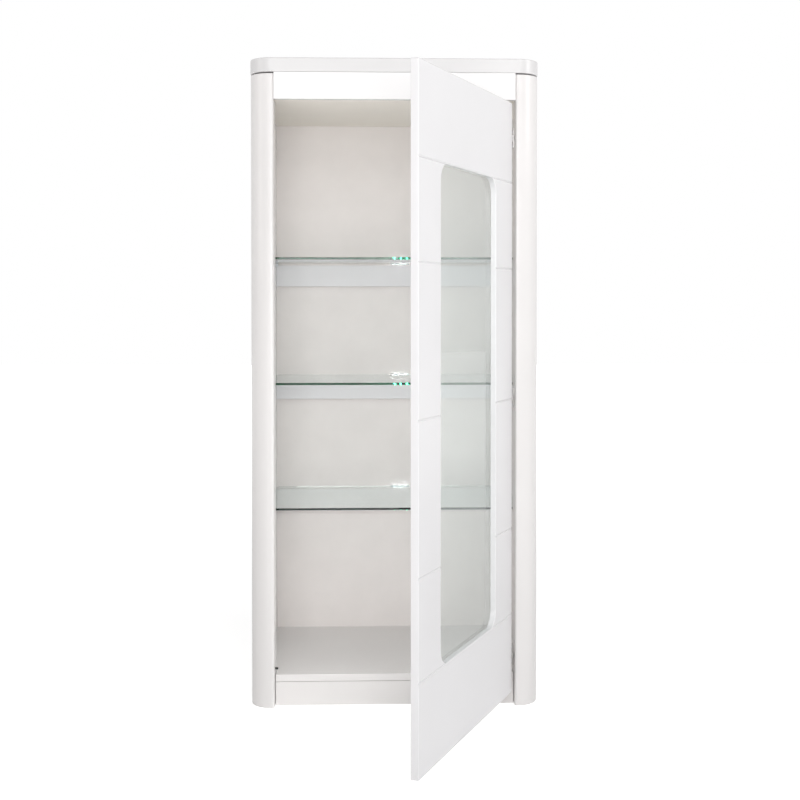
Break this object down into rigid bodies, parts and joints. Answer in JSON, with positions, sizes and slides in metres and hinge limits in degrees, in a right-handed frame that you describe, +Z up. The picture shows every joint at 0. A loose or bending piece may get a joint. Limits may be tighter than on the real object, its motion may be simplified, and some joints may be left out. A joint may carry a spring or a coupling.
{
  "type": "curio cabinet",
  "caption": "Tall white display cabinet with rounded front posts, a grooved inset door with a glass window on concealed hinges, and lit glass shelves.",
  "frame": {"origin": "on the floor, at mid-width, in the plane of the back face, where the rear plinth meets the floor", "axes": "+Z up, +Y out of the back towards the wall behind, +X to the right as seen from the front; the door opens towards -Y and is hinged on the +X side"},
  "size_m": [0.652, 0.8995, 1.456],
  "materials": {
    "white_lacquer": "satin white lacquer on fibreboard",
    "white_interior": "matt white foil on fibreboard",
    "white_back": "matt white-faced hardboard",
    "shelf_glass": "clear float glass with polished green edges",
    "door_glass": "clear float glass",
    "beech": "plain beech",
    "dark_rubber": "matt",
    "diode": "lit cool-white lens",
    "clear_plastic": "clear moulded",
    "white_plastic": "moulded",
    "zinc": "die-cast zinc",
    "plated_steel": "zinc-plated",
    "nickel_steel": "nickel-plated steel"
  },
  "bodies": {
    "cabinet": {"top_panel": "white_lacquer", "top_cleats": "white_interior", "top_screws": "plated_steel", "ceiling_panel": "white_interior", "top_rail": "white_lacquer", "left_side_panel": "white_lacquer", "right_side_panel": "white_lacquer", "left_front_post": "white_lacquer", "right_front_post": "white_lacquer", "bottom_panel": "white_lacquer", "front_plinth": "white_lacquer", "rear_plinth": "white_lacquer", "back_panel": "white_back", "back_nails": "plated_steel", "lower_shelf_rail": "white_interior", "middle_shelf_rail": "white_interior", "upper_shelf_rail": "white_interior", "cam_locks": "zinc", "cam_pins": "plated_steel", "wood_dowels": "beech", "lower_glass_shelf": "shelf_glass", "middle_glass_shelf": "shelf_glass", "upper_glass_shelf": "shelf_glass", "shelf_pins": "plated_steel", "lower_light_clip": "clear_plastic", "middle_light_clip": "clear_plastic", "upper_light_clip": "clear_plastic", "light_diodes": "diode", "door_stop": "dark_rubber", "upper_hinge_plate": "nickel_steel", "middle_hinge_plate": "nickel_steel", "lower_hinge_plate": "nickel_steel", "upper_hinge_arm": "nickel_steel", "middle_hinge_arm": "nickel_steel", "lower_hinge_arm": "nickel_steel", "hinge_plate_screws": "plated_steel", "hinge_arm_screws": "plated_steel"},
    "door": {"door_panel": "white_lacquer", "door_glass": "door_glass", "glass_clips": "white_plastic", "glass_clip_screws": "plated_steel", "upper_hinge_cup": "nickel_steel", "middle_hinge_cup": "nickel_steel", "lower_hinge_cup": "nickel_steel", "hinge_cup_screws": "plated_steel"},
    "hinge_links": {"upper_hinge_link": "nickel_steel", "middle_hinge_link": "nickel_steel", "lower_hinge_link": "nickel_steel"}
  },
  "joints": [
    {"name": "door_swing", "type": "hinge", "parent": "cabinet", "child": "door", "pos_m": [0.2675, -0.4165, 0.694], "axis": [0, 0, 1], "range_deg": [-64.75, 45.25]},
    {"name": "link_turn", "type": "hinge", "parent": "cabinet", "child": "hinge_links", "pos_m": [0.2675, -0.4165, 0.694], "axis": [0, 0, 1], "range_deg": [-32.4, 22.7]}
  ],
  "couplings": [
    {"joint": "link_turn", "follows": "door_swing", "ratio": 0.5}
  ]
}
